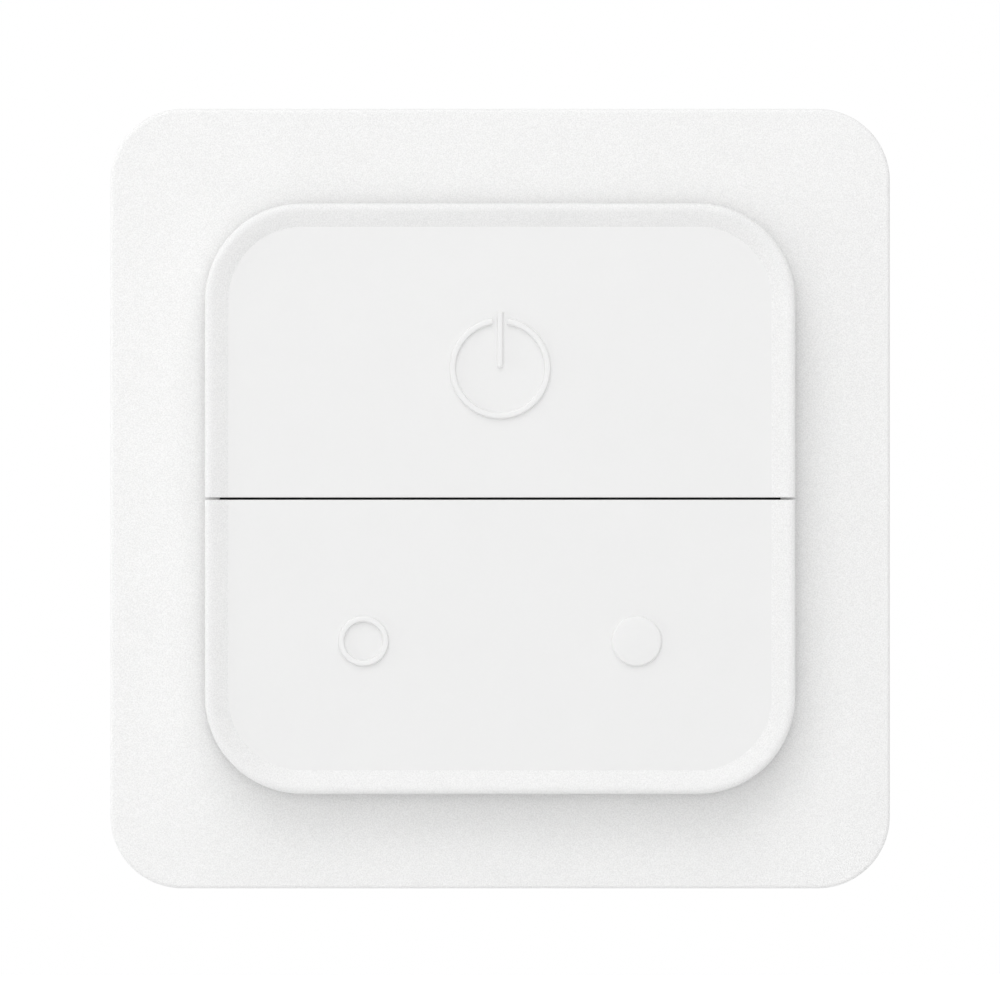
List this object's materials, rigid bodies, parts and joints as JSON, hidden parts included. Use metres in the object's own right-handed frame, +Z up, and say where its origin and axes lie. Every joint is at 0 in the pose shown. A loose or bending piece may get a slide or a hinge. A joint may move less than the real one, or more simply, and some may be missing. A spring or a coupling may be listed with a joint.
{
  "type": "battery-powered wall switch",
  "caption": "Square white wall switch with a flat frame and a raised module, whose dished face is split into a press key and a rocking dimmer key with raised symbols.",
  "frame": {"origin": "centre of the switch's back, on the wall's surface", "axes": "+Z up the wall, +X to the right for someone facing the switch, +Y into the wall; the keys face -Y"},
  "size_m": [0.08, 0.0155, 0.08],
  "materials": {
    "frame_plastic": "fine matt grain",
    "key_plastic": "satin face with a fine matt rim",
    "housing_plastic": "matt",
    "carrier_plastic": "matt",
    "keeper_steel": "zinc plated",
    "pad_foam": "foam tape",
    "cell_steel": "bright brushed",
    "contact_strip": "nickel plated",
    "board_laminate": "solder mask",
    "tinned_steel": "tin plated",
    "chip_black": "moulded",
    "capacitor_body": "fired ceramic",
    "switch_black": "moulded",
    "magnet_nickel": "nickel plated",
    "screw_steel": "zinc plated"
  },
  "bodies": {
    "wall_unit": {"wall_plate": "housing_plastic", "keeper_plate": "keeper_steel", "adhesive_pad_upper": "pad_foam", "adhesive_pad_lower": "pad_foam", "decor_frame": "frame_plastic"},
    "module": {"rear_housing": "housing_plastic", "coin_cell": "cell_steel", "battery_contact_minus": "contact_strip", "battery_contact_plus": "contact_strip", "circuit_board": "board_laminate", "radio_shield": "tinned_steel", "radio_chip": "chip_black", "crystal": "tinned_steel", "board_capacitors": "capacitor_body", "key_carrier": "carrier_plastic", "case_screws": "screw_steel", "magnet_left": "magnet_nickel", "magnet_right": "magnet_nickel", "power_switch_base": "switch_black", "power_switch_cover": "tinned_steel", "power_switch_leads": "tinned_steel", "dim_switch_base": "switch_black", "dim_switch_cover": "tinned_steel", "dim_switch_leads": "tinned_steel", "bright_switch_base": "switch_black", "bright_switch_cover": "tinned_steel", "bright_switch_leads": "tinned_steel"},
    "battery_door": {"battery_door": "housing_plastic"},
    "power_key": {"power_key": "key_plastic"},
    "dimmer_key": {"dimmer_key": "key_plastic"},
    "power_plunger": {"power_switch_plunger": "switch_black"},
    "dim_plunger": {"dim_switch_plunger": "switch_black"},
    "bright_plunger": {"bright_switch_plunger": "switch_black"}
  },
  "joints": [
    {"name": "module_pull_off", "type": "slide", "parent": "wall_unit", "child": "module", "axis": [0, -1, 0], "range_m": [0, 0.025]},
    {"name": "battery_door_turn", "type": "hinge", "parent": "module", "child": "battery_door", "pos_m": [0, -0.0027, 0], "axis": [0, 1, 0], "range_deg": [0, 40]},
    {"name": "power_key_press", "type": "hinge", "parent": "module", "child": "power_key", "pos_m": [0, -0.01255, 0.025], "axis": [1, 0, 0], "range_deg": [0, 1.4], "stiffness_Nm_per_rad": 1.2, "springref_deg": -0.57},
    {"name": "dimmer_key_rock", "type": "hinge", "parent": "module", "child": "dimmer_key", "pos_m": [0, -0.01255, -0.015], "axis": [0, 0, 1], "range_deg": [-1.2, 1.2], "stiffness_Nm_per_rad": 1.2},
    {"name": "power_plunger_slide", "type": "slide", "parent": "module", "child": "power_plunger", "axis": [0, 1, 0], "range_m": [0, 0.00045]},
    {"name": "dim_plunger_slide", "type": "slide", "parent": "module", "child": "dim_plunger", "axis": [0, 1, 0], "range_m": [-0.0003, 0.0003]},
    {"name": "bright_plunger_slide", "type": "slide", "parent": "module", "child": "bright_plunger", "axis": [0, 1, 0], "range_m": [-0.0003, 0.0003]}
  ],
  "couplings": [
    {"joint": "power_plunger_slide", "follows": "power_key_press", "m_per_rad": 0.017},
    {"joint": "dim_plunger_slide", "follows": "dimmer_key_rock", "m_per_rad": -0.014},
    {"joint": "bright_plunger_slide", "follows": "dimmer_key_rock", "m_per_rad": 0.014}
  ]
}
